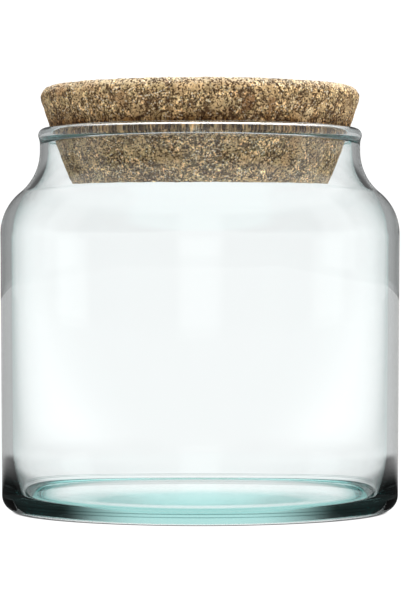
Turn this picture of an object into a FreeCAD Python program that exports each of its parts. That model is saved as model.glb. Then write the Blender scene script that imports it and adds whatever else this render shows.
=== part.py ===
import FreeCAD, Part
import math
import os

# Glass jar, outside (millimetres)
body_radius = 60.0          # straight body just above the heel
body_flare = 0.5            # growth of that radius up to the shoulder, the widest ring
jar_height = 115.8          # table to the top of the rim
heel_bend = 5.0             # rounding between the wall and the base
shoulder_bend = 16.2        # outward rounding of the shoulder
neck_bend = 16.2            # inward sweep from the shoulder up to the neck
neck_radius = 48.6          # narrowest ring of the neck
neck_drop = 6.8             # from the top of the rim down to that ring
neck_straight = 2.0         # upright neck from there up to the curve of the bead

# Glass jar, rim, walls and base
rim_overhang = 0.5          # how far the rim bead stands out past the neck
rim_bend = 2.0              # section radius of the fire-polished bead
wall = 3.3                  # straight body
neck_wall = 2.5             # neck, thinner than the body
shoulder_ease = 1.3         # how much rounder the shoulder is inside than outside
inner_heel_bend = 5.0       # inside fillet between the wall and the floor
heel_sweep = 70.0           # slow inward curve of the inside wall above that fillet
heel_gain = 1.1             # how much that curve thickens the wall
floor_height = 2.3          # table to the edge of the inside floor
floor_rise = 1.3            # crown of the inside floor
foot_width = 5.5            # flat ring that stands on the table
foot_step = 0.5             # bevelled step up from that ring to the underside
push_up = 0.9               # hollow of the underside at its centre

# Cork stopper
cork_height = 32.0
cork_sunk = 19.2            # depth of its foot below the top of the rim
cork_draft = 11.1           # growth of its radius from foot to top
cork_top_bend = 3.5         # rounding of the top edge
cork_bottom_bend = 0.5      # slight rounding of the lower edge
seat_gap = 0.2              # between the cork's cone and the rim bead

# Heights and radii that follow from the sizes above
shoulder_radius = body_radius + body_flare
neck_height = jar_height - neck_drop
lip_height = neck_height + neck_straight
rim_centre_radius = neck_radius + rim_overhang - rim_bend
rim_centre_height = jar_height - rim_bend
foot_outer_radius = body_radius - heel_bend
foot_inner_radius = foot_outer_radius - foot_width
hollow_radius = foot_inner_radius - foot_step
heel_lean = math.acos(1 - heel_gain / heel_sweep)
sweep_centre_radius = body_radius - wall - heel_sweep
sweep_extra = heel_sweep - inner_heel_bend
floor_radius = sweep_centre_radius + sweep_extra * math.cos(heel_lean)
inner_heel_height = floor_height + inner_heel_bend
sweep_height = inner_heel_height + sweep_extra * math.sin(heel_lean)

half_share = 0.5            # an arc's middle point lies at half its turn


def point(radius, height):
    return FreeCAD.Vector(radius, 0, height)


def line(start, end):
    return Part.LineSegment(start, end).toShape()


def arc(start, middle, end):
    return Part.Arc(start, middle, end).toShape()


def on_circle(centre, radius, angle):
    return point(centre.x + radius * math.cos(angle), centre.z + radius * math.sin(angle))


def bend(centre, radius, start_angle, end_angle):
    """Arc about a centre from one angle to another."""
    middle_angle = start_angle + (end_angle - start_angle) * half_share
    return arc(
        on_circle(centre, radius, start_angle),
        on_circle(centre, radius, middle_angle),
        on_circle(centre, radius, end_angle),
    )


def crown(edge_radius, edge_height, rise):
    """Shallow spherical cap from its edge to the axis."""
    ball = (edge_radius ** 2 + rise ** 2) / (rise + rise)
    centre = point(0, edge_height + rise - ball)
    edge_angle = math.atan2(edge_height - centre.z, edge_radius)
    return bend(centre, ball, edge_angle, math.pi * half_share)


def shoulder_curve(low_radius, high_radius, low_bend, high_bend):
    """S-curve of two tangent arcs, from the upright body to the upright neck."""
    both_bends = low_bend + high_bend
    turn = math.acos(1 - (low_radius - high_radius) / both_bends)
    low_height = neck_height - both_bends * math.sin(turn)
    low_centre = point(low_radius - low_bend, low_height)
    high_centre = point(high_radius + high_bend, neck_height)
    return [
        bend(low_centre, low_bend, 0, turn),
        bend(high_centre, high_bend, math.pi + turn, math.pi),
    ]


def lip_curve(neck_wall_radius):
    """Arc from the upright neck wall, tangent to the round bead of the rim."""
    offset = neck_wall_radius - rim_centre_radius
    side = math.copysign(1, offset)
    reach = abs(offset)
    drop = rim_centre_height - lip_height
    sweep = (reach ** 2 + drop ** 2 - rim_bend ** 2) / (rim_bend - reach) * half_share
    centre = point(neck_wall_radius + side * sweep, lip_height)
    tilt = math.asin(drop / (sweep + rim_bend))
    if side > 0:
        return bend(centre, sweep, math.pi, math.pi - tilt)
    return bend(centre, sweep, 0, tilt)


def end_points(edge):
    return edge.valueAt(edge.FirstParameter), edge.valueAt(edge.LastParameter)


def rings_by_height(solid):
    rings = [edge for edge in solid.Edges if edge.isClosed()]
    return sorted(rings, key=lambda ring: ring.CenterOfMass.z)


def glass_jar():
    """Blown jar as one turned wall: base, heel, body, shoulder, neck and rim bead."""
    neck_inner_radius = neck_radius - neck_wall
    under_side = crown(hollow_radius, foot_step, push_up - foot_step)
    step = line(point(hollow_radius, foot_step), point(foot_inner_radius, 0))
    heel = bend(point(foot_outer_radius, heel_bend), heel_bend, -math.pi * half_share, 0)
    outer_shoulder = shoulder_curve(shoulder_radius, neck_radius, shoulder_bend, neck_bend)
    outer_lip = lip_curve(neck_radius)
    inner_lip = lip_curve(neck_inner_radius)
    inner_shoulder = shoulder_curve(
        shoulder_radius - wall, neck_inner_radius, shoulder_bend + shoulder_ease, neck_bend + neck_wall
    )
    inner_sweep = bend(point(sweep_centre_radius, sweep_height), heel_sweep, -heel_lean, 0)
    inner_heel_centre = point(floor_radius, inner_heel_height)
    inner_heel = bend(inner_heel_centre, inner_heel_bend, -math.pi * half_share, -heel_lean)
    inside_floor = crown(floor_radius, floor_height, floor_rise)

    foot = line(point(foot_inner_radius, 0), point(foot_outer_radius, 0))
    outer_wall = line(end_points(heel)[1], end_points(outer_shoulder[0])[0])
    outer_neck = line(point(neck_radius, neck_height), point(neck_radius, lip_height))
    inner_neck = line(point(neck_inner_radius, neck_height), point(neck_inner_radius, lip_height))
    bead_top = point(rim_centre_radius, jar_height)
    bead = arc(end_points(outer_lip)[1], bead_top, end_points(inner_lip)[1])
    inner_wall = line(end_points(inner_shoulder[0])[0], end_points(inner_sweep)[1])
    axis = line(point(0, floor_height + floor_rise), point(0, push_up))

    edges = [under_side, step, foot, heel, outer_wall, *outer_shoulder, outer_neck, outer_lip, bead]
    edges += [inner_lip, inner_neck, *inner_shoulder, inner_wall, inner_sweep, inner_heel, inside_floor, axis]
    outline = Part.Wire(Part.__sortEdges__(edges))
    return Part.Face(outline).revolve(point(0, 0), FreeCAD.Vector(0, 0, 1), 360)


def cork_stopper():
    """Tapered cork bung whose cone rests on the inside of the rim bead, wide end up."""
    slope = cork_draft / cork_height
    foot_height = jar_height - cork_sunk
    stand_off = (rim_bend + seat_gap) * math.hypot(1, slope)
    foot_radius = rim_centre_radius - stand_off - slope * (rim_centre_height - foot_height)
    bung = Part.makeCone(foot_radius, foot_radius + cork_draft, cork_height, point(0, foot_height))
    bung = bung.makeFillet(cork_bottom_bend, [rings_by_height(bung)[0]])
    return bung.makeFillet(cork_top_bend, [rings_by_height(bung)[-1]])


os.makedirs("parts", exist_ok=True)
pieces = {"glass_jar": glass_jar(), "cork_stopper": cork_stopper()}
for name, shape in pieces.items():
    solid = shape.Solids[0]
    solid.exportStep("parts/" + name + ".step")
    print(name, "valid", solid.isValid(), "volume mm3", round(solid.Volume, 1), solid.BoundBox)
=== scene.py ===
import bpy
import itertools
import math
import numpy as np
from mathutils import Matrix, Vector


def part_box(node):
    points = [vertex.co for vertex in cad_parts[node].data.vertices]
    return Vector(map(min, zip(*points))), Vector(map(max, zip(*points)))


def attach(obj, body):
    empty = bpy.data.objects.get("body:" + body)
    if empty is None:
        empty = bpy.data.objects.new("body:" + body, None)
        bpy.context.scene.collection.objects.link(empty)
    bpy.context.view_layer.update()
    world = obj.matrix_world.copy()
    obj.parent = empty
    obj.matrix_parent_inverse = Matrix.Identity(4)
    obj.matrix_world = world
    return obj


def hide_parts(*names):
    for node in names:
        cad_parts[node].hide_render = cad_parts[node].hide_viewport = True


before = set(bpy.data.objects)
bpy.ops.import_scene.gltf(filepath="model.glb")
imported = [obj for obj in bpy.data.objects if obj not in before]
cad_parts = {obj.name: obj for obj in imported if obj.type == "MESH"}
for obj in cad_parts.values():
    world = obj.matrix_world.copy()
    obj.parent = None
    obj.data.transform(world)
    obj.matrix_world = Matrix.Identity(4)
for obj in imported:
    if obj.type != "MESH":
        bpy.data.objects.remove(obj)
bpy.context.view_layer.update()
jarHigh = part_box("glass_jar")[1]
corkLow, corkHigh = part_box("cork_stopper")
scene = bpy.context.scene
mm = 0.001                             # shapes are worked out in millimetres, meshes are in metres
tiny = 1e-6                            # keeps divisors off zero
white = (1.0, 1.0, 1.0, 1.0)
black = (0.0, 0.0, 0.0, 1.0)
print("frame loaded: jar up to", round(jarHigh.z, 4), "cork up to", round(corkHigh.z, 4))


# Photograph's view: level camera, a little above half height, jar on the picture's axis
photo = {
    "wide": 401, "tall": 601,          # pixels
    "focal": 2880.0,                   # pixels
    "distance": 0.875,                 # metres from the jar's axis
    "eyeHeight": 0.068,                # metres above the table
    "horizonRow": 286.5, "axisColumn": 200.0,
    "sensor": 36.0,                    # millimetres along the tall side
    "near": 0.01, "far": 20.0,         # metres
}


def addCamera(view):
    data = bpy.data.cameras.new("photo_camera")
    data.sensor_width = view["sensor"]
    data.lens = view["focal"] * view["sensor"] / view["tall"]
    data.shift_y = (view["horizonRow"] - view["tall"] / 2) / view["tall"]
    data.shift_x = (view["wide"] / 2 - view["axisColumn"]) / view["tall"]
    data.clip_start, data.clip_end = view["near"], view["far"]
    camera = bpy.data.objects.new("photo_camera", data)
    camera.location = (0.0, -view["distance"], view["eyeHeight"])
    camera.rotation_euler = (math.pi / 2, 0.0, 0.0)
    scene.collection.objects.link(camera)
    scene.camera = camera


# Mesh helpers
def newPiece(name, points, faces, material):
    mesh = bpy.data.meshes.new(name)
    mesh.from_pydata(points.tolist(), [], faces)
    mesh.polygons.foreach_set("use_smooth", np.ones(len(mesh.polygons), bool))
    mesh.materials.append(material)
    mesh.update()
    piece = bpy.data.objects.new(name, mesh)
    scene.collection.objects.link(piece)
    return piece


def turnedFaces(rings, steps):
    # quads between neighbouring rings, wrapped round, and a fan at each pole;
    # vertex 0 is the first pole, the last vertex the other pole
    ring = np.arange(rings - 1)[:, None] * steps + 1
    step = np.arange(steps)[None, :]
    after = (step + 1) % steps
    quads = np.stack([ring + step, ring + after, ring + steps + after, ring + steps + step], axis=-1)
    step, after = step[0], after[0]
    lastRing = (rings - 1) * steps + 1
    firstFan = np.stack([np.zeros(steps, int), after + 1, step + 1], axis=-1)
    lastFan = np.stack([lastRing + step, lastRing + after, np.full(steps, lastRing + steps)], axis=-1)
    return quads.reshape(-1, 4).tolist() + firstFan.tolist() + lastFan.tolist()


def turnedGrid(outline, steps):
    # the section turned about the upright axis: (r cos a, r sin a, z), poles left out
    angle = np.linspace(0, 2 * math.pi, steps, endpoint=False)
    radius, turn = np.meshgrid(outline[1:-1, 0], angle, indexing="ij")
    height = np.repeat(outline[1:-1, 1:], steps, axis=1)
    return radius, turn, height


def upright(radius, turn, height):
    return np.stack([radius * np.cos(turn), radius * np.sin(turn), height], axis=-1)


def bendPoints(centre, radius, startAngle, endAngle, count):
    # arc: centre plus radius times (cos, sin) of an angle that runs evenly from start to end
    angle = np.linspace(startAngle, endAngle, count)
    return np.stack([centre[0] + radius * np.cos(angle), centre[1] + radius * np.sin(angle)], axis=1)


def linePoints(start, end, count):
    return np.linspace(start, end, count)


def joinRuns(runs):
    # runs that start where the one before ends
    return np.concatenate([runs[0]] + [run[1:] for run in runs[1:]])


def smooth(low, high, value):
    # 0 below low, 1 above high, 3 t^2 - 2 t^3 between
    t = np.clip((value - low) / (high - low), 0.0, 1.0)
    return t * t * (3 - 2 * t)


# Node helpers
def addNode(tree, kind, values=None, **settings):
    node = tree.nodes.new("ShaderNode" + kind)
    for name, value in settings.items():
        setattr(node, name, value)
    for socket, value in (values or {}).items():
        if isinstance(value, bpy.types.NodeSocket):
            tree.links.new(value, node.inputs[socket])
        else:
            node.inputs[socket].default_value = value
    return node


def calc(tree, operation, first, second=0.0):
    return addNode(tree, "Math", {0: first, 1: second}, operation=operation).outputs[0]


def remap(tree, value, low, high, start=0.0, end=1.0):
    node = addNode(tree, "MapRange", {"Value": value, "From Min": low, "From Max": high,
                                      "To Min": start, "To Max": end}, interpolation_type="SMOOTHSTEP")
    return node.outputs["Result"]


def mixColour(tree, factor, first, second, blend="MIX"):
    node = addNode(tree, "Mix", {0: factor, 6: first, 7: second}, data_type="RGBA", blend_type=blend)
    return node.outputs[2]


def newMaterial(name):
    material = bpy.data.materials.new(name)
    material.use_nodes = True
    return material, material.node_tree, material.node_tree.nodes["Principled BSDF"]


# Glass jar
jarSizes = {                           # millimetres
    "flare": 0.5, "heelBend": 5.0, "shoulderBend": 16.2, "neckBend": 16.2,
    "neckRadius": 48.6, "neckDrop": 6.8, "neckStraight": 2.0, "rimOverhang": 0.5, "rimBend": 2.0,
    "wall": 3.3, "neckWall": 2.5, "shoulderEase": 1.3,
    "innerHeelBend": 5.0, "heelSweep": 70.0, "heelGain": 1.1,   # inside bend, slow curve above it
    "floorHeight": 2.3, "floorRise": 1.3, "footWidth": 5.5, "footStep": 0.5, "pushUp": 0.9,
    "steps": 320,                      # round the axis
    "points": {                        # along each run of the section
        "under": 26, "step": 4, "foot": 6, "heel": 18, "wall": 20, "shoulder": 24, "neck": 4, "lip": 8,
        "rim": 28, "sweep": 12, "innerHeel": 20, "floor": 24,
    },
}
jarGlass = {                           # lengths in metres
    "ior": 1.52,
    "rimIor": 4.0, "rimRough": 0.05,   # polished top of the bead
    "rimFrom": 0.1145, "rimTo": 0.1151,   # heights where that starts and is full
    "paintedLines": (0.0025, 0.00345), "paintedLineWide": 0.00026,   # painted dark lines round the heel that stand for dark refractions: heights, half width
    "paintedLineFrom": 0.0575,                # radius that they lie outside of
    "paintedLineColour": (0.05, 0.14, 0.14, 1.0),
    "tint": (0.15, 0.75, 0.74), "density": 9.0,   # a metre absorbs the density times 1 minus the colour
}


def crownPoints(edgeRadius, edgeHeight, rise, count):
    # spherical cap: ball radius (edge squared plus rise squared) over twice the rise
    ball = (edgeRadius ** 2 + rise ** 2) / (2 * rise)
    centre = (0.0, edgeHeight + rise - ball)
    edgeAngle = math.atan2(edgeHeight - centre[1], edgeRadius)
    return bendPoints(centre, ball, edgeAngle, math.pi / 2, count)


def shoulderPoints(lowRadius, highRadius, lowBend, highBend, topHeight, count):
    # two tangent arcs; the turn t has 1 - cos t = the step in radius over the sum of both bends
    bends = lowBend + highBend
    turn = math.acos(1 - (lowRadius - highRadius) / bends)
    lowHeight = topHeight - bends * math.sin(turn)
    low = bendPoints((lowRadius - lowBend, lowHeight), lowBend, 0, turn, count)
    high = bendPoints((highRadius + highBend, topHeight), highBend, math.pi + turn, math.pi, count)
    return joinRuns([low, high])


def lipPoints(neckRadius, neckHeight, bead, beadBend, count):
    # arc upright at the neck and tangent to the bead: (sweep + reach)^2 + drop^2 = (sweep + bead)^2
    offset = neckRadius - bead[0]
    reach, drop = abs(offset), bead[1] - neckHeight
    sweep = (reach ** 2 + drop ** 2 - beadBend ** 2) / (2 * (beadBend - reach))
    tilt = math.asin(drop / (sweep + beadBend))
    if offset > 0:
        return bendPoints((neckRadius + sweep, neckHeight), sweep, math.pi, math.pi - tilt, count)
    return bendPoints((neckRadius - sweep, neckHeight), sweep, 0, tilt, count)


def jarOutline(s):
    # closed section from the axis under the base, out, up, over the rim and down the inside to the axis
    widest, height = jarHigh.x / mm, jarHigh.z / mm
    body = widest - s["flare"]
    neckHeight = height - s["neckDrop"]
    bead = (s["neckRadius"] + s["rimOverhang"] - s["rimBend"], height - s["rimBend"])
    footOut = body - s["heelBend"]
    footIn = footOut - s["footWidth"]
    neckIn = s["neckRadius"] - s["neckWall"]
    # inner heel: the wall leans in on the sweep's wide arc, then turns on the bend's arc, tangent to it
    lean = math.acos(1 - s["heelGain"] / s["heelSweep"])
    extra = s["heelSweep"] - s["innerHeelBend"]
    floorEdge = body - s["wall"] - s["heelSweep"] + extra * math.cos(lean)
    bendHeight = s["floorHeight"] + s["innerHeelBend"]
    sweepCentre = (body - s["wall"] - s["heelSweep"], bendHeight + extra * math.sin(lean))

    hollow = footIn - s["footStep"]
    lipHeight = neckHeight + s["neckStraight"]
    count = s["points"]
    under = crownPoints(hollow, s["footStep"], s["pushUp"] - s["footStep"], count["under"])[::-1]
    step = linePoints((hollow, s["footStep"]), (footIn, 0.0), count["step"])
    foot = linePoints((footIn, 0.0), (footOut, 0.0), count["foot"])
    heel = bendPoints((footOut, s["heelBend"]), s["heelBend"], -math.pi / 2, 0, count["heel"])
    outer = shoulderPoints(widest, s["neckRadius"], s["shoulderBend"], s["neckBend"], neckHeight,
                           count["shoulder"])
    outerWall = linePoints(heel[-1], outer[0], count["wall"])
    outerLip = lipPoints(s["neckRadius"], lipHeight, bead, s["rimBend"], count["lip"])
    innerLip = lipPoints(neckIn, lipHeight, bead, s["rimBend"], count["lip"])
    outAngle = math.atan2(outerLip[-1, 1] - bead[1], outerLip[-1, 0] - bead[0])
    inAngle = math.atan2(innerLip[-1, 1] - bead[1], innerLip[-1, 0] - bead[0]) % (2 * math.pi)
    rim = bendPoints(bead, s["rimBend"], outAngle, inAngle, count["rim"])
    inner = shoulderPoints(widest - s["wall"], neckIn, s["shoulderBend"] + s["shoulderEase"],
                           s["neckBend"] + s["neckWall"], neckHeight, count["shoulder"])
    sweep = bendPoints(sweepCentre, s["heelSweep"], 0, -lean, count["sweep"])
    innerHeel = bendPoints((floorEdge, bendHeight), s["innerHeelBend"], -lean, -math.pi / 2,
                           count["innerHeel"])
    innerWall = linePoints(inner[0], sweep[0], count["wall"])
    outerNeck = linePoints(outer[-1], outerLip[0], count["neck"])
    innerNeck = linePoints(innerLip[0], inner[-1], count["neck"])
    floor = crownPoints(floorEdge, s["floorHeight"], s["floorRise"], count["floor"])
    outside = [under, step, foot, heel, outerWall, outer, outerNeck, outerLip, rim]
    inside = [innerLip[::-1], innerNeck, inner[::-1], innerWall, sweep, innerHeel, floor]
    outline = joinRuns(outside + inside)
    outline[[0, -1], 0] = 0.0
    return outline


def glassJar(s, material):
    outline = jarOutline(s)
    radius, turn, height = turnedGrid(outline, s["steps"])
    grid = upright(radius, turn, height).reshape(-1, 3)
    lowPole, highPole = [[0, 0, outline[0, 1]]], [[0, 0, outline[-1, 1]]]
    points = np.concatenate([lowPole, grid, highPole]) * mm
    piece = newPiece("jar_glass", points, turnedFaces(len(radius), s["steps"]), material)
    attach(piece, "jar")
    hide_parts("glass_jar")
    print("jar:", len(points), "points")


def glassMaterial(g):
    material, tree, shader = newMaterial("jar_clear_glass")
    shader.inputs["Roughness"].default_value = 0.0
    shader.inputs["IOR"].default_value = g["ior"]
    shader.inputs["Transmission Weight"].default_value = 1.0
    shader.inputs["Coat Roughness"].default_value = g["rimRough"]
    shader.inputs["Coat IOR"].default_value = g["rimIor"]
    place = addNode(tree, "TexCoord").outputs["Object"]
    height = addNode(tree, "SeparateXYZ", {0: place}).outputs[2]
    tree.links.new(remap(tree, height, g["rimFrom"], g["rimTo"]), shader.inputs["Coat Weight"])
    level = (1.0, 1.0, 0.0)
    flat = addNode(tree, "VectorMath", {0: place, 1: level}, operation="MULTIPLY").outputs[0]
    radius = addNode(tree, "VectorMath", {0: flat}, operation="LENGTH").outputs["Value"]
    # painted dark lines round the outside of the heel, standing for dark refractions in the thick glass
    gap = [calc(tree, "ABSOLUTE", calc(tree, "SUBTRACT", height, ring)) for ring in g["paintedLines"]]
    paintedLine = remap(tree, calc(tree, "MINIMUM", *gap), 0.0, g["paintedLineWide"], 1.0, 0.0)
    paintedLine = calc(tree, "MULTIPLY", paintedLine, calc(tree, "GREATER_THAN", radius, g["paintedLineFrom"]))
    tree.links.new(mixColour(tree, paintedLine, white, g["paintedLineColour"]), shader.inputs["Base Color"])
    tint = addNode(tree, "VolumeAbsorption", {"Color": (*g["tint"], 1.0), "Density": g["density"]})
    tree.links.new(tint.outputs["Volume"], tree.nodes["Material Output"].inputs["Volume"])
    return material


# Cork stopper
corkSizes = {                          # millimetres
    "taper": 11.1 / 32.0,              # growth of the radius for each millimetre of height
    "topBend": 3.5, "bottomBend": 0.5,
    "steps": 640,
    "underRings": 20, "lowRings": 4, "sideRings": 70, "bendRings": 20, "topRings": 40,
    "highlightDrop": 3.2, "highlightWide": 8.0,  # painted highlight along the top edge: down the side, and in over the top
    "rimShadeWide": 3.0,                   # half height of the painted shade ring where the rim shades the cork
}
corkGrain = {                          # millimetres, and shares of the granules
    "large": 3.8, "small": 1.7,        # spacing of the big and the small granules
    "wholeShare": 0.27,                # of the big ones that aren't broken into small ones
    "bend": 1.4, "bendSize": 2.2,      # wandering of the granules' outlines
    "seamWide": 0.34, "seamDeep": 0.22, "seamPower": 1.5,
    "step": 0.14,                      # how far granules stand above each other
    "pitSpacing": 2.4, "pitShare": 0.24, "pitDeep": 0.8,
    "pitSmall": 0.3, "pitLarge": 0.8,
    "pitEdge": 0.7,                    # share of a pit's radius that its wall takes
    "roughSize": 0.7, "rough": 0.12,
    "salts": {                         # of the repeatable random numbers
        "drift": (11, 12, 13), "large": 21, "small": 31, "whole": 41, "largeTone": 42, "smallTone": 43,
        "largeHue": 44, "smallHue": 45, "step": 46, "pit": 51, "pitChance": 52, "pitSpread": 53,
        "rough": 61,
    },
}
corkLook = {
    "dark": (0.292, 0.164, 0.074), "brown": (0.432, 0.282, 0.135), "mid": (0.541, 0.369, 0.182),
    "tan": (0.637, 0.451, 0.234), "cream": (0.800, 0.615, 0.355), "fleck": (0.87, 0.78, 0.61),
    "olive": (0.475, 0.395, 0.199), "rust": (0.508, 0.282, 0.135), "crack": (0.055, 0.025, 0.012),
    "stops": ((0.04, "brown"), (0.30, "mid"), (0.92, "tan")),   # tones between dark and cream
    "oliveFrom": 0.6, "oliveTo": 0.95, "oliveShare": 0.35,
    "rustTo": 0.05, "rustFrom": 0.3, "rustShare": 0.4,
    "edge": (0.90, 0.83, 0.68), "highlightShare": 0.4,   # painted highlight along the top edge
    "rimShade": (0.30, 0.20, 0.11),        # painted shade of the rim on the cork: share of the light that it keeps
    "sheen": 0.04, "sheenRough": 0.4, "gloss": 0.08, "roughLow": 0.78, "roughHigh": 0.95,
}
corkTexture = {                        # scales per metre, then thresholds and strengths
    "chips": 760.0, "chipDark": 0.86, "chipLight": 1.15,
    "speckle": 1600.0, "speckleSwing": 1.2, "grit": 2400.0, "gritSwing": 1.5,
    "calm": 0.3,                       # share of speckle, grit and flecks on unbroken granules
    "flecks": 1700.0, "fleckShare": 0.3, "fleckFrom": 0.36, "fleckTo": 0.5, "fleckStrength": 0.85,
    # noise that makes the painted highlight along the top edge patchy
    "highlightNoise": 700.0, "highlightLow": 0.3, "highlightHigh": 0.6, "highlightLeast": 0.4,
    "cracks": 620.0, "crackFrom": 0.02, "crackTo": 0.10,
    "crackNoise": 420.0, "crackLow": 0.54, "crackHigh": 0.64,
    "specks": 1550.0, "speckLow": 0.555, "speckHigh": 0.59,
    "seamFrom": 0.45, "seamTo": 1.0, "seamNoise": 300.0, "seamLow": 0.42, "seamHigh": 0.58,
    "pitFrom": 0.1, "pitTo": 0.6, "gapStrength": 0.9,
    # patchiness of the painted rim shade on the cork
    "rimShadeNoise": 260.0, "rimShadeLow": 0.35, "rimShadeHigh": 0.6, "rimShadeLeast": 0.6,
    "bumpSpeckle": 0.6, "bumpChip": 0.35, "bumpStrength": 0.8, "bumpDistance": 0.0004,
}
latticeMix = {                         # whole numbers that scramble a cell's place
    "axes": (73856093, 19349663, 83492791), "spread": 1540483477, "shifts": (13, 17, 5), "lastShift": 15,
    "saltTimes": 40503, "saltWrap": 65536, "saltSpread": 65521, "saltStart": 977,
}


def latticeValue(cell, salt):
    # a repeatable number from 0 to 1 for each cell of a lattice, by integer mixing
    m = latticeMix
    cell = cell.astype(np.int64).astype(np.uint32)
    start = salt * m["saltTimes"] % m["saltWrap"] * m["saltSpread"] + m["saltStart"]
    mixed = np.bitwise_xor.reduce(cell * np.array(m["axes"], np.uint32), axis=-1) ^ np.uint32(start)
    for shift in m["shifts"]:
        mixed ^= mixed >> np.uint32(shift)
        mixed *= np.uint32(m["spread"])
    return (mixed ^ (mixed >> np.uint32(m["lastShift"]))) / 2.0 ** 32


def softNoise(points, size, salt):
    # lattice values blended over the eight corners of each cell with smoothstep weights
    place = points / size
    base = np.floor(place)
    share = place - base
    share = share * share * (3 - 2 * share)
    total = np.zeros(len(points))
    for corner in itertools.product((0, 1), repeat=3):
        weight = np.prod(np.where(np.array(corner) == 1, share, 1 - share), axis=-1)
        total += weight * latticeValue(base + corner, salt)
    return total


def granules(points, size, salt):
    # one seed at a random place in each lattice cell; the nearest seed owns the point, and half the
    # difference between the two nearest distances is about the distance to the granule's border
    place = points / size
    base = np.floor(place)
    nearest = np.full(len(points), np.inf)
    second = np.full(len(points), np.inf)
    owner = np.zeros((len(points), 3))
    for offset in itertools.product((-1, 0, 1), repeat=3):
        cell = base + offset
        seed = cell + np.stack([latticeValue(cell, salt + k) for k in range(3)], axis=-1)
        distance = np.linalg.norm(place - seed, axis=-1)
        closer = distance < nearest
        second = np.where(closer, nearest, np.minimum(second, distance))
        owner = np.where(closer[:, None], cell, owner)
        nearest = np.minimum(nearest, distance)
    return nearest * size, (second - nearest) * size / 2, owner


def corkRelief(points, g):
    # depth below the turned surface: granule steps, seams between granules, pits and a fine roughness
    salts = g["salts"]
    drift = np.stack([softNoise(points, g["bendSize"], salt) for salt in salts["drift"]], axis=-1) - 0.5
    bent = points + g["bend"] * drift
    _, largeEdge, large = granules(bent, g["large"], salts["large"])
    _, smallEdge, small = granules(bent, g["small"], salts["small"])
    whole = latticeValue(large, salts["whole"]) < g["wholeShare"]
    tone = np.where(whole, latticeValue(large, salts["largeTone"]), latticeValue(small, salts["smallTone"]))
    hue = np.where(whole, latticeValue(large, salts["largeHue"]), latticeValue(small, salts["smallHue"]))
    edge = np.where(whole, largeEdge, np.minimum(largeEdge, smallEdge))
    seam = np.clip(1 - edge / g["seamWide"], 0, 1)
    distance, _, owner = granules(bent, g["pitSpacing"], salts["pit"])
    chance, spread = latticeValue(owner, salts["pitChance"]), latticeValue(owner, salts["pitSpread"])
    reach = g["pitSmall"] + (g["pitLarge"] - g["pitSmall"]) * spread ** 2
    pit = smooth(0, g["pitEdge"], np.clip(1 - distance / reach, 0, 1)) * (chance < g["pitShare"])
    rough = softNoise(points, g["roughSize"], salts["rough"])
    depth = g["step"] * latticeValue(np.where(whole[:, None], large, small), salts["step"])
    depth += g["seamDeep"] * seam ** g["seamPower"] + g["pitDeep"] * pit + g["rough"] * rough
    return depth, {"tone": tone, "hue": hue, "seam": seam, "pit": pit, "whole": whole}


def corkOutline(s):
    # half section from the middle of the underside to that of the top: flat, bend, cone, bend, flat
    low, high, widest = corkLow.z / mm, corkHigh.z / mm, corkHigh.x / mm
    lean = math.atan(s["taper"])
    topCentre = (widest - s["topBend"], high - s["topBend"])
    coneAtTop = topCentre[0] + s["topBend"] / math.cos(lean)
    coneAtLow = coneAtTop - s["taper"] * (topCentre[1] - low - s["bottomBend"])
    lowCentre = (coneAtLow - s["bottomBend"] / math.cos(lean), low + s["bottomBend"])
    under = linePoints((0.0, low), (lowCentre[0], low), s["underRings"])
    lowBend = bendPoints(lowCentre, s["bottomBend"], -math.pi / 2, -lean, s["lowRings"])
    topBend = bendPoints(topCentre, s["topBend"], -lean, math.pi / 2, s["bendRings"])
    side = linePoints(lowBend[-1], topBend[0], s["sideRings"])
    top = linePoints(topBend[-1], (0.0, high), s["topRings"])
    return joinRuns([under, lowBend, side, topBend, top])


def corkStopper(s, g, material):
    # turned surface pushed in along its normal by the relief, so it stays inside the plain bung
    outline = corkOutline(s)
    along = np.gradient(outline, axis=0)
    normal = np.stack([along[:, 1], -along[:, 0]], axis=1)
    normal /= np.linalg.norm(normal, axis=1, keepdims=True)
    radius, turn, height = turnedGrid(outline, s["steps"])
    grid = upright(radius, turn, height).reshape(-1, 3)
    push = upright(*turnedGrid(normal, s["steps"])).reshape(-1, 3)
    depth, marks = corkRelief(grid, g)
    # painted shade of the rim on the cork: a bell curve over the height about the top of the rim
    marks["rimShade"] = np.exp(-((grid[:, 2] - jarHigh.z / mm) / s["rimShadeWide"]) ** 2)
    # painted highlight along the top edge: fades in up the rounding and out again over the flat top
    high, widest = corkHigh.z / mm, corkHigh.x / mm
    marks["edge"] = smooth(high - s["highlightDrop"], high, grid[:, 2])
    marks["edge"] *= smooth(widest - s["highlightWide"], widest - s["topBend"], radius.ravel())
    lowPole = [[0, 0, outline[0, 1] + depth[:s["steps"]].mean()]]
    highPole = [[0, 0, outline[-1, 1] - depth[-s["steps"]:].mean()]]
    points = np.concatenate([lowPole, grid - push * depth[:, None], highPole]) * mm
    piece = newPiece("cork_bung", points, turnedFaces(len(radius), s["steps"]), material)
    for name, values in marks.items():
        values = np.concatenate([values[:1], values, values[-1:]]).astype(np.float32)
        piece.data.attributes.new(name, "FLOAT", "POINT").data.foreach_set("value", values)
    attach(piece, "stopper")
    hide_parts("cork_stopper")
    print("cork:", len(points), "points, relief up to", round(float(depth.max()), 2), "mm")


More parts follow.
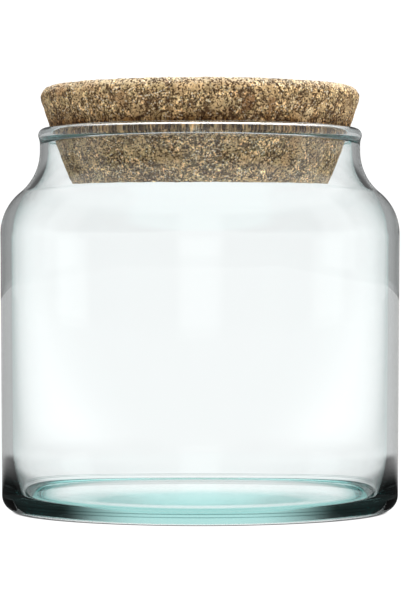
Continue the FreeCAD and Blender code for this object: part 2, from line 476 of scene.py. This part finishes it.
def corkMaterial(c, x):
    material, tree, shader = newMaterial("pressed_cork")
    place = addNode(tree, "TexCoord").outputs["Object"]

    def mark(name):
        return addNode(tree, "Attribute", attribute_name=name).outputs["Fac"]

    def noise(scale, detail=3.0, rough=0.6):
        values = {"Vector": place, "Scale": scale, "Detail": detail, "Roughness": rough}
        return addNode(tree, "TexNoise", values).outputs["Fac"]

    def cells(scale, feature="F1"):
        return addNode(tree, "TexVoronoi", {"Vector": place, "Scale": scale}, feature=feature)

    def colour(name):
        return (*c[name], 1.0)

    def picked(node, channel):
        return addNode(tree, "SeparateColor", {"Color": node.outputs["Color"]}).outputs[channel]

    def swing(value, strength, wide):
        # 1 plus the strength times a swing of the value about its middle, a half
        swung = calc(tree, "MULTIPLY", calc(tree, "SUBTRACT", value, 0.5), wide)
        return calc(tree, "ADD", calc(tree, "MULTIPLY", swung, strength), 1.0)

    def dots(scale, share, inner, outer):
        # roundish spots on a share of the seeds
        node = cells(scale)
        spot = remap(tree, node.outputs["Distance"], inner, outer, 1.0, 0.0)
        return calc(tree, "MULTIPLY", spot, calc(tree, "LESS_THAN", picked(node, 0), share))

    def both(first, second):
        return calc(tree, "MULTIPLY", first, second)

    def shaded(tint, factor):
        return mixColour(tree, 1.0, tint, factor, "MULTIPLY")

    # granules: a tone for each, some greener, some redder
    ramp = addNode(tree, "ValToRGB", {"Fac": mark("tone")})
    stops = ramp.color_ramp.elements
    stops[0].position, stops[0].color = 0.0, colour("dark")
    stops[1].position, stops[1].color = 1.0, colour("cream")
    for position, name in c["stops"]:
        stops.new(position).color = colour(name)
    greener = remap(tree, mark("hue"), c["oliveFrom"], c["oliveTo"], 0.0, c["oliveShare"])
    tint = mixColour(tree, greener, ramp.outputs["Color"], colour("olive"))
    redder = remap(tree, mark("hue"), c["rustTo"], c["rustFrom"], c["rustShare"], 0.0)
    tint = mixColour(tree, redder, tint, colour("rust"))

    # chips inside the granules, about a millimetre, then speckle, grit and pale flecks
    chipTone = picked(cells(x["chips"]), 0)
    tint = shaded(tint, remap(tree, chipTone, 0.0, 1.0, x["chipDark"], x["chipLight"]))
    speckle = picked(cells(x["speckle"]), 1)
    broken = remap(tree, mark("whole"), 0.0, 1.0, 1.0, x["calm"])
    tint = shaded(tint, swing(speckle, broken, x["speckleSwing"]))
    grit = picked(cells(x["grit"]), 2)
    tint = shaded(tint, swing(grit, broken, x["gritSwing"]))
    flecks = both(dots(x["flecks"], x["fleckShare"], x["fleckFrom"], x["fleckTo"]), broken)
    tint = mixColour(tree, both(flecks, x["fleckStrength"]), tint, colour("fleck"))

    # painted highlight: paler, unevenly, along the top edge
    uneven = remap(tree, noise(x["highlightNoise"]), x["highlightLow"], x["highlightHigh"], x["highlightLeast"], 1.0)
    pale = both(mark("edge"), uneven)
    tint = mixColour(tree, both(pale, c["highlightShare"]), tint, colour("edge"))

    # dark cracks between chips, broken up, dark specks, seams between granules, and pits
    border = cells(x["cracks"], "DISTANCE_TO_EDGE").outputs["Distance"]
    crack = both(remap(tree, border, x["crackFrom"], x["crackTo"], 1.0, 0.0),
                 remap(tree, noise(x["crackNoise"]), x["crackLow"], x["crackHigh"]))
    specks = remap(tree, noise(x["specks"], detail=1.0, rough=0.5), x["speckLow"], x["speckHigh"])
    seams = both(remap(tree, mark("seam"), x["seamFrom"], x["seamTo"]),
                 remap(tree, noise(x["seamNoise"]), x["seamLow"], x["seamHigh"]))
    hollow = remap(tree, mark("pit"), x["pitFrom"], x["pitTo"])
    gaps = calc(tree, "MAXIMUM", calc(tree, "MAXIMUM", crack, specks), calc(tree, "MAXIMUM", seams, hollow))
    tint = mixColour(tree, both(gaps, x["gapStrength"]), tint, colour("crack"))

    # painted shade, patchy, where the rim shades the cork
    patchy = remap(tree, noise(x["rimShadeNoise"]), x["rimShadeLow"], x["rimShadeHigh"], x["rimShadeLeast"], 1.0)
    rimShadeMask = both(mark("rimShade"), patchy)
    tint = shaded(tint, mixColour(tree, rimShadeMask, white, colour("rimShade")))
    tree.links.new(tint, shader.inputs["Base Color"])

    height = calc(tree, "SUBTRACT", both(speckle, x["bumpSpeckle"]), gaps)
    height = calc(tree, "ADD", height, both(chipTone, x["bumpChip"]))
    bump = addNode(tree, "Bump", {"Height": height, "Strength": x["bumpStrength"],
                                  "Distance": x["bumpDistance"]})
    tree.links.new(bump.outputs["Normal"], shader.inputs["Normal"])
    tree.links.new(remap(tree, grit, 0.0, 1.0, c["roughLow"], c["roughHigh"]), shader.inputs["Roughness"])
    shader.inputs["Specular IOR Level"].default_value = c["gloss"]
    shader.inputs["Sheen Weight"].default_value = c["sheen"]
    shader.inputs["Sheen Roughness"].default_value = c["sheenRough"]
    return material


# Stage: white floor in a white tent with a bright top, and dark cards for reflections in the glass
tent = {                               # radiances, and the directions where they change
    "backdrop": 1.1,                   # behind the jar, as the camera sees it
    "through": 1.03, "flank": 1.18, "edge": 0.72,   # seen straight through the glass, from the middle out
    "flankFrom": 0.002, "flankTo": 0.03, "edgeFrom": 0.04, "edgeTo": 0.2,   # squared sines of azimuth
    "wideFrom": 0.3, "wideTo": 0.6,    # and where it is back at the level of the middle
    "guided": (0.6, 0.92, 0.9, 1.0),   # colour of light that is guided a long way in the base plate
    "tilt": 0.14,                      # how much brighter the right is in reflections inside the glass
    "strip": 0.95,                     # how much darker a low strip behind the jar is
    "stripFrom": 0.0, "stripTo": 0.34, "stripSoft": 0.04,   # sines of its elevations
    "stripBack": 0.3,                  # how far back a direction points before the strip starts
    "side": 0.85, "top": 5.2,          # light on the pieces, from all round and from overhead
    "lean": 0.6,                       # how much brighter the right is than the middle
    "behind": 1.6,                     # gain of the light that reaches the cork through the glass
    "deep": 0.03,                      # share left of what is reflected often within one wall of glass
    "often": 1.5, "walls": 3.5,        # such paths: more reflections than often, fewer crossings than walls
    "topFrom": 0.55, "topTo": 0.9,     # sine of the elevation where the bright top starts and is full
    "zenith": 0.25,                    # share left straight overhead, apart from gloss on the rim
    "zenithFrom": 0.84, "zenithTo": 0.94,
    "mirrorSide": 0.2, "mirrorLamp": 0.5,   # reflections off the outside of the glass
    "lampBack": 0.174, "lampUp": 0.985,  # direction of the lamp that they show, above and behind
    "lampFrom": 0.62, "lampTo": 0.72,  # cosine of the angle to it at the lamp's soft edge
    "open": 1.1, "low": 0.5, "card": 0.08, "high": 1.2,   # reflections inside the glass
    "lowTo": 0.12, "cardFull": 0.25, "highFrom": 0.5, "highFull": 0.65,   # sines of their elevations
    "cardFrom": 0.08, "cardTo": 0.3,   # edges of the gaps between cards: squared sine of twice the azimuth
}
floorSizes = {                         # metres, and radiances
    "half": 12.0, "drop": 0.0001,
    "light": 0.8,                      # on the pieces
    "glow": (0.60, 1.0, 0.97),         # colour of the light under the glass base
    "under": 0.85, "foot": 0.8, "ring": 0.7, "far": 0.62,   # reflections in the glass, from the axis out
    "footFrom": 0.040, "footTo": 0.050, "ringFrom": 0.060, "ringTo": 0.064,   # their radii
    "farFrom": 0.15, "farTo": 0.30,
    "footSide": 0.02, "ringSide": 0.02,   # the same left and right of the jar
    "sideFrom": 0.02, "sideTo": 0.55,  # squared sines of the azimuth from the front-to-back axis
    "throughSide": 0.5,                # seen straight through the glass, close by on the left and right
    "nearFrom": 0.08, "nearTo": 0.12,  # where that is white again
    "nearSideFrom": 0.6, "nearSideTo": 0.9,
    "edgeNear": 0.15, "edgeFar": 0.6,  # where it fades to the sides, as the backdrop does
    "teal": (0.27, 0.63, 0.60),        # ring of tinted light under the thick glass of the heel
    "tealFrom": 0.041, "tealTo": 0.048, "tealOut": 0.054,   # its radii
    "contact": 0.1,                    # thin shadow under the heel, as the camera sees it
    "contactFrom": 0.0555, "contactTo": 0.0575,
}
bounces = {"max": 64, "transmission": 64, "glossy": 48}   # enough for light guided along the glass


def blendValue(tree, factor, first, second):
    return addNode(tree, "MapRange", {"Value": factor, "To Min": first, "To Max": second}).outputs[0]


def byPath(tree, t, plain, seen, through, bounced, mirrored):
    # plain light for the pieces; the others for what the camera sees directly, straight through the
    # glass, after a reflection inside the glass, and mirrored off the outside of the glass
    path = addNode(tree, "LightPath").outputs
    first = calc(tree, "SUBTRACT", 1.0, calc(tree, "MINIMUM", path["Diffuse Depth"], 1.0))
    inGlass = calc(tree, "MULTIPLY", path["Is Transmission Ray"], first)
    behind = calc(tree, "SUBTRACT", path["Is Transmission Ray"], inGlass)
    plain = calc(tree, "MULTIPLY", plain, blendValue(tree, behind, 1.0, t["behind"]))
    deep = calc(tree, "MULTIPLY", calc(tree, "GREATER_THAN", path["Glossy Depth"], t["often"]),
                calc(tree, "LESS_THAN", path["Transmission Depth"], t["walls"]))
    bounced = calc(tree, "MULTIPLY", bounced, blendValue(tree, deep, 1.0, t["deep"]))
    offGlass = calc(tree, "MULTIPLY", path["Is Singular Ray"], calc(tree, "SUBTRACT", first, inGlass))
    turned = calc(tree, "MINIMUM", path["Glossy Depth"], 1.0)
    level = blendValue(tree, inGlass, plain, blendValue(tree, turned, through, bounced))
    level = blendValue(tree, offGlass, level, mirrored)
    return blendValue(tree, path["Is Camera Ray"], level, seen)


def guidedTint(tree, t):
    # colour of light that was guided a long way within the base plate
    path = addNode(tree, "LightPath").outputs
    guided = calc(tree, "MULTIPLY", calc(tree, "GREATER_THAN", path["Glossy Depth"], t["often"]),
                  calc(tree, "GREATER_THAN", path["Transmission Depth"], t["walls"]))
    return mixColour(tree, guided, white, t["guided"])


def fadeSideways(tree, t, side):
    # level seen straight through the glass by the squared sine of the azimuth: a little up, then down
    inner = remap(tree, side, t["flankFrom"], t["flankTo"], t["through"], t["flank"])
    outer = remap(tree, side, t["edgeFrom"], t["edgeTo"], inner, t["edge"])
    return remap(tree, side, t["wideFrom"], t["wideTo"], outer, t["through"])


def leaning(tree, across, amount):
    # 1 in the middle, more on the right and less on the left
    return calc(tree, "ADD", calc(tree, "MULTIPLY", across, amount), 1.0)


def addFloor(f, t):
    half, low = f["half"], -f["drop"]
    corners = np.array([[-half, -half, low], [half, -half, low], [half, half, low], [-half, half, low]])
    material, tree, shader = newMaterial("floor")
    place = addNode(tree, "TexCoord").outputs["Object"]
    radius = addNode(tree, "VectorMath", {0: place}, operation="LENGTH").outputs["Value"]
    axes = addNode(tree, "SeparateXYZ", {0: place}).outputs
    sine = calc(tree, "DIVIDE", axes[0], calc(tree, "MAXIMUM", radius, tiny))
    side = calc(tree, "MULTIPLY", sine, sine)
    foot = remap(tree, side, f["sideFrom"], f["sideTo"], f["foot"], f["footSide"])
    ring = remap(tree, side, f["sideFrom"], f["sideTo"], f["ring"], f["ringSide"])
    shade = remap(tree, radius, f["footFrom"], f["footTo"], f["under"], foot)
    shade = remap(tree, radius, f["ringFrom"], f["ringTo"], shade, ring)
    far = calc(tree, "MULTIPLY", leaning(tree, sine, t["tilt"]), f["far"])
    shade = remap(tree, radius, f["farFrom"], f["farTo"], shade, far)
    near = calc(tree, "MULTIPLY", remap(tree, radius, f["ringFrom"], f["ringTo"]),
                remap(tree, radius, f["nearFrom"], f["nearTo"], 1.0, 0.0))
    near = calc(tree, "MULTIPLY", near, remap(tree, side, f["nearSideFrom"], f["nearSideTo"]))
    through = remap(tree, radius, f["edgeNear"], f["edgeFar"], t["through"], fadeSideways(tree, t, side))
    through = blendValue(tree, near, through, f["throughSide"])
    seen = remap(tree, radius, f["contactFrom"], f["contactTo"], f["contact"], t["backdrop"])
    beyond = remap(tree, radius, f["ringFrom"], f["ringTo"])
    glow = [calc(tree, "MULTIPLY", shade, blendValue(tree, beyond, share, 1.0)) for share in f["glow"]]
    ringed = calc(tree, "MULTIPLY", remap(tree, radius, f["tealFrom"], f["tealTo"]),
                  calc(tree, "LESS_THAN", radius, f["tealOut"]))
    clear = [calc(tree, "MULTIPLY", through, blendValue(tree, ringed, 1.0, share)) for share in f["teal"]]
    channels = [byPath(tree, t, f["light"], seen, straight, bounced, shade)
                for straight, bounced in zip(clear, glow)]
    light = addNode(tree, "CombineColor", dict(enumerate(channels))).outputs[0]
    light = mixColour(tree, 1.0, light, guidedTint(tree, t), "MULTIPLY")
    shader.inputs["Base Color"].default_value = black
    shader.inputs["Specular IOR Level"].default_value = 0.0
    shader.inputs["Emission Strength"].default_value = 1.0
    tree.links.new(light, shader.inputs["Emission Color"])
    floor = newPiece("floor", corners, [[0, 1, 2, 3]], material)


def addWorld(t):
    # cards stand on the diagonals: the squared sine of twice the azimuth, 4 x^2 y^2 over (x^2 + y^2)^2
    world = bpy.data.worlds.new("tent")
    world.use_nodes = True
    scene.world = world
    tree = world.node_tree
    direction = addNode(tree, "TexCoord").outputs["Generated"]
    axes = addNode(tree, "SeparateXYZ", {0: direction}).outputs
    xx = calc(tree, "MULTIPLY", axes[0], axes[0])
    yy = calc(tree, "MULTIPLY", axes[1], axes[1])
    flat = calc(tree, "ADD", xx, yy)
    sine = calc(tree, "DIVIDE", calc(tree, "MULTIPLY", calc(tree, "MULTIPLY", xx, yy), 4.0),
                calc(tree, "MAXIMUM", calc(tree, "MULTIPLY", flat, flat), tiny ** 2))
    rise = axes[2]
    card = remap(tree, rise, t["lowTo"], t["cardFull"], t["low"], t["card"])
    bounced = remap(tree, sine, t["cardFrom"], t["cardTo"], t["open"], card)
    bounced = remap(tree, rise, t["highFrom"], t["highFull"], bounced, t["high"])
    plain = remap(tree, rise, t["topFrom"], t["topTo"], t["side"], t["top"])
    zenith = remap(tree, rise, t["zenithFrom"], t["zenithTo"], 1.0, t["zenith"])
    glossy = addNode(tree, "LightPath").outputs["Is Glossy Ray"]
    plain = calc(tree, "MULTIPLY", plain, blendValue(tree, glossy, zenith, 1.0))
    plain = calc(tree, "MULTIPLY", plain, leaning(tree, axes[0], t["lean"]))
    soft = t["stripSoft"]
    strip = calc(tree, "MULTIPLY", remap(tree, rise, t["stripFrom"], t["stripFrom"] + soft),
                 remap(tree, rise, t["stripTo"], t["stripTo"] + soft, t["strip"], 0.0))
    strip = calc(tree, "MULTIPLY", strip, remap(tree, axes[1], t["stripBack"], t["stripBack"] + soft))
    plain = calc(tree, "MULTIPLY", plain, calc(tree, "SUBTRACT", 1.0, strip))
    bounced = calc(tree, "MULTIPLY", bounced, leaning(tree, axes[0], t["tilt"]))
    towards = calc(tree, "ADD", calc(tree, "MULTIPLY", axes[1], t["lampBack"]),
                   calc(tree, "MULTIPLY", rise, t["lampUp"]))
    mirrored = remap(tree, towards, t["lampFrom"], t["lampTo"], t["mirrorSide"], t["mirrorLamp"])
    through = fadeSideways(tree, t, calc(tree, "DIVIDE", xx, calc(tree, "MAXIMUM", flat, tiny)))
    level = byPath(tree, t, plain, t["backdrop"], through, bounced, mirrored)
    background = tree.nodes["Background"]
    tree.links.new(guidedTint(tree, t), background.inputs["Color"])
    tree.links.new(level, background.inputs["Strength"])
    print("stage: floor and tent")


addCamera(photo)
glassJar(jarSizes, glassMaterial(jarGlass))
corkStopper(corkSizes, corkGrain, corkMaterial(corkLook, corkTexture))
addFloor(floorSizes, tent)
addWorld(tent)
scene.view_settings.view_transform = "Standard"
scene.cycles.max_bounces = bounces["max"]
scene.cycles.transmission_bounces = bounces["transmission"]
scene.cycles.glossy_bounces = bounces["glossy"]
